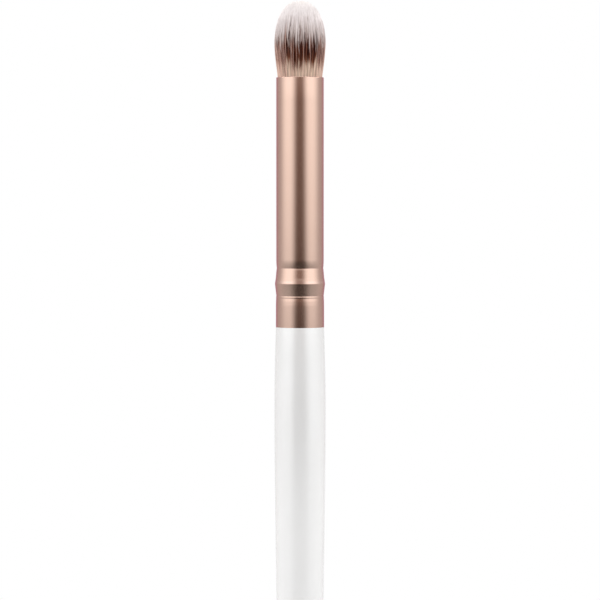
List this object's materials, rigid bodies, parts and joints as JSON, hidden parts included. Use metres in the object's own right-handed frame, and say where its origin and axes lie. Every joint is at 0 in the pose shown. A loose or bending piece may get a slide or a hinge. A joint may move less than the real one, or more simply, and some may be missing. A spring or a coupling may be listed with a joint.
{
  "type": "eyeshadow brush",
  "caption": "Slim round eyeshadow brush: tapered lacquered handle, beaded metal ferrule and a short domed tuft of soft hair that bends in use.",
  "frame": {"origin": "tip of the handle, on the brush's axis, at the lowest point", "axes": "+Z along the axis from the handle's tip towards the hair; the brush is round, so X and Y are free, and the hair bends about Y"},
  "size_m": [0.0088, 0.0088, 0.1721],
  "materials": {
    "wood": "turned, unfinished under the lacquer",
    "lacquer": "pearl white gloss",
    "glue": "cured glue",
    "ferrule_metal": "rose gold, satin",
    "hair": "beige roots, dark brown band, white tips",
    "tie": "woven band",
    "resin": "clear amber, cast"
  },
  "bodies": {
    "brush": {"handle_wood": "wood", "handle_lacquer": "lacquer", "handle_glue": "glue", "ferrule": "ferrule_metal", "hair_held": "hair", "root_tie": "tie", "root_resin": "resin"},
    "tuft": {"hair_free": "hair"}
  },
  "joints": [
    {"name": "tuft_flex", "type": "hinge", "parent": "brush", "child": "tuft", "pos_m": [0, 0, 0.15917], "axis": [0, 1, 0], "range_deg": [-30, 30], "stiffness_Nm_per_rad": 0.004}
  ]
}
